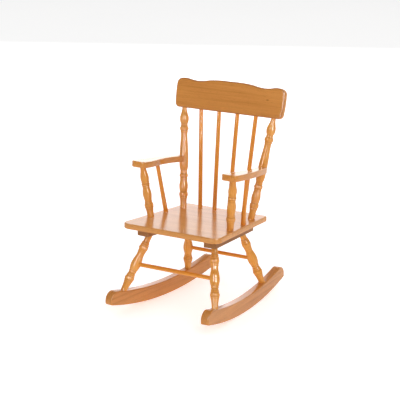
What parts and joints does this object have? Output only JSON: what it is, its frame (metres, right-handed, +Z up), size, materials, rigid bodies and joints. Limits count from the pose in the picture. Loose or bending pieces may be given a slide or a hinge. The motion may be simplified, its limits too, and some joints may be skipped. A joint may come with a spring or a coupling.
{
  "type": "child's rocking chair",
  "caption": "Wooden child's rocking chair: tapered board seat, turned legs and posts, plain back spindles under a shaped crest rail, flat arms and bowed rockers.",
  "frame": {"origin": "on the floor, below the middle of the chair's bounding box", "axes": "+Z up, the sitter faces -Y, +X to the right of someone who looks along +Y at the chair's front; the chair mirrors across X = 0"},
  "size_m": [0.4132, 0.572, 0.713],
  "materials": {
    "seat_board": "clear gloss lacquer over honey stain",
    "crest_board": "clear gloss lacquer over honey stain",
    "cleat_stock": "thin honey stain",
    "rocker_stock": "clear gloss lacquer over honey stain",
    "arm_board": "clear gloss lacquer over honey stain",
    "turned_stock": "clear gloss lacquer over honey stain",
    "dowel_stock": "clear gloss lacquer over honey stain",
    "plug_stock": "clear gloss lacquer over honey stain",
    "steel": "zinc plated"
  },
  "bodies": {
    "root": {"arm_left": "arm_board", "arm_post_left": "turned_stock", "arm_post_right": "turned_stock", "arm_right": "arm_board", "arm_screw_plugs": "plug_stock", "arm_screws": "steel", "arm_spindle_left": "dowel_stock", "arm_spindle_right": "dowel_stock", "back_post_left": "turned_stock", "back_post_right": "turned_stock", "back_spindle_1": "dowel_stock", "back_spindle_2": "dowel_stock", "back_spindle_3": "dowel_stock", "back_spindle_4": "dowel_stock", "cleat_left": "cleat_stock", "cleat_right": "cleat_stock", "cleat_screws": "steel", "crest_brads": "steel", "crest_rail": "crest_board", "leg_back_left": "turned_stock", "leg_back_right": "turned_stock", "leg_front_left": "turned_stock", "leg_front_right": "turned_stock", "rocker_left": "rocker_stock", "rocker_right": "rocker_stock", "rocker_screws": "steel", "seat": "seat_board", "stretcher_back": "dowel_stock", "stretcher_front": "dowel_stock"}
  },
  "joints": []
}
